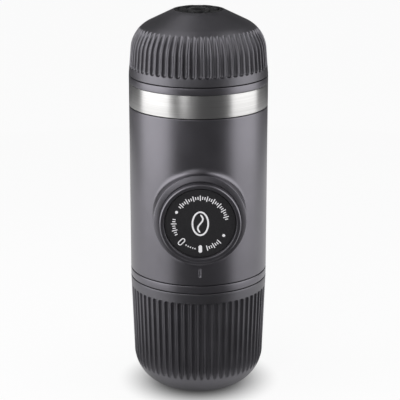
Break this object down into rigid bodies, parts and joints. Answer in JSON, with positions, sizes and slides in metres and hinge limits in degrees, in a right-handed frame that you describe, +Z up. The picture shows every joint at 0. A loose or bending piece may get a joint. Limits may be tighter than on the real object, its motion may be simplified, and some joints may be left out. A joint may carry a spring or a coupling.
{
  "type": "handheld manual espresso maker",
  "caption": "Handheld manual espresso maker: piston pump with push knob, water tank and cup below, capsule adapter and ribbed outlet head with spout above.",
  "frame": {"origin": "centre of the cup's flat foot, on the surface that it stands on", "axes": "+Z up along the body's axis, pump knob towards -Y, +X to the right seen from the knob's side"},
  "size_m": [0.062, 0.0706, 0.1751],
  "materials": {
    "casing_plastic": "satin moulded, charcoal grey",
    "rib_plastic": "satin moulded, darker grey",
    "band_steel": "turned stainless steel",
    "knob_plastic": "satin moulded",
    "dial_black": "printed disc, pale marks",
    "spout_black": "moulded, black",
    "inner_plastic": "moulded, heat-resistant",
    "fine_steel": "stainless steel",
    "spring_steel": "drawn spring wire",
    "screw_steel": "stainless screws",
    "seal_rubber": "silicone rubber"
  },
  "bodies": {
    "main": {"casing": "casing_plastic", "chassis_base": "inner_plastic", "inlet_strainer": "fine_steel", "brew_head": "inner_plastic", "shower_disc": "fine_steel", "pump_housing": "inner_plastic", "housing_screws": "screw_steel", "rear_posts": "fine_steel", "post_screws": "screw_steel", "pump_cylinder": "inner_plastic", "cylinder_screws": "screw_steel", "valve_block": "inner_plastic", "block_seal": "seal_rubber", "block_screws": "screw_steel", "inlet_valve": "seal_rubber", "inlet_pipe": "inner_plastic", "outlet_pipe": "inner_plastic", "outlet_spring": "spring_steel", "relief_spring": "spring_steel", "relief_plug": "inner_plastic", "return_spring": "spring_steel"},
    "outlet_ball": {"outlet_ball": "fine_steel"},
    "relief_ball": {"relief_ball": "fine_steel"},
    "spring_seat": {"spring_seat": "fine_steel"},
    "knob": {"pump_knob": "knob_plastic", "knob_dial": "dial_black", "piston_rod": "fine_steel", "piston_head": "inner_plastic", "piston_rings": "seal_rubber", "rod_screw": "screw_steel"},
    "adapter_gasket": {"adapter_gasket": "seal_rubber"},
    "adapter": {"adapter_body": "casing_plastic", "adapter_band": "band_steel", "piercing_plate": "fine_steel", "chamber_ring": "seal_rubber", "capsule_holder": "inner_plastic"},
    "head_seal": {"head_seal": "seal_rubber"},
    "outlet_head": {"outlet_head": "rib_plastic", "extraction_plate": "inner_plastic", "head_funnel": "inner_plastic", "head_screws": "screw_steel", "spout_insert": "spout_black"},
    "tank_gasket": {"tank_gasket": "seal_rubber"},
    "tank": {"water_tank": "casing_plastic", "air_valve": "seal_rubber", "cup_ring": "seal_rubber"},
    "cup": {"cup": "rib_plastic"}
  },
  "joints": [
    {"name": "piston_stroke", "type": "slide", "parent": "main", "child": "spring_seat", "axis": [0, -1, 0], "range_m": [0, 0.018], "deforming": ["return_spring"]},
    {"name": "knob_turn", "type": "hinge", "parent": "spring_seat", "child": "knob", "pos_m": [0, 0, 0.0881], "axis": [0, -1, 0], "range_deg": [0, 45]},
    {"name": "adapter_lift", "type": "slide", "parent": "main", "child": "adapter_gasket", "axis": [0, 0, 1], "range_m": [0, 0.0202]},
    {"name": "adapter_turn", "type": "hinge", "parent": "adapter_gasket", "child": "adapter", "pos_m": [0, 0, 0.1376], "axis": [0, 0, 1], "range_deg": [0, 800]},
    {"name": "head_lift", "type": "slide", "parent": "adapter", "child": "head_seal", "axis": [0, 0, 1], "range_m": [0, 0.0182]},
    {"name": "head_turn", "type": "hinge", "parent": "head_seal", "child": "outlet_head", "pos_m": [0, 0, 0.15], "axis": [0, 0, 1], "range_deg": [0, 720]},
    {"name": "tank_lower", "type": "slide", "parent": "main", "child": "tank_gasket", "axis": [0, 0, -1], "range_m": [0, 0.0182]},
    {"name": "tank_turn", "type": "hinge", "parent": "tank_gasket", "child": "tank", "pos_m": [0, 0, 0.053], "axis": [0, 0, -1], "range_deg": [0, 720]},
    {"name": "cup_pull", "type": "slide", "parent": "tank", "child": "cup", "axis": [0, 0, -1], "range_m": [0, 0.052]},
    {"name": "outlet_ball_lift", "type": "slide", "parent": "main", "child": "outlet_ball", "axis": [0, 0, 1], "range_m": [0, 0.0012], "stiffness_N_per_m": 200, "springref_m": -0.0005, "deforming": ["outlet_spring"]},
    {"name": "relief_ball_lift", "type": "slide", "parent": "main", "child": "relief_ball", "axis": [1, 0, 0], "range_m": [0, 0.0006], "stiffness_N_per_m": 600, "springref_m": -0.0005, "deforming": ["relief_spring"]}
  ],
  "couplings": [
    {"joint": "adapter_lift", "follows": "adapter_turn", "m_per_rad": 0.0014324},
    {"joint": "head_lift", "follows": "head_turn", "m_per_rad": 0.0014324},
    {"joint": "tank_lower", "follows": "tank_turn", "m_per_rad": 0.0014324}
  ]
}
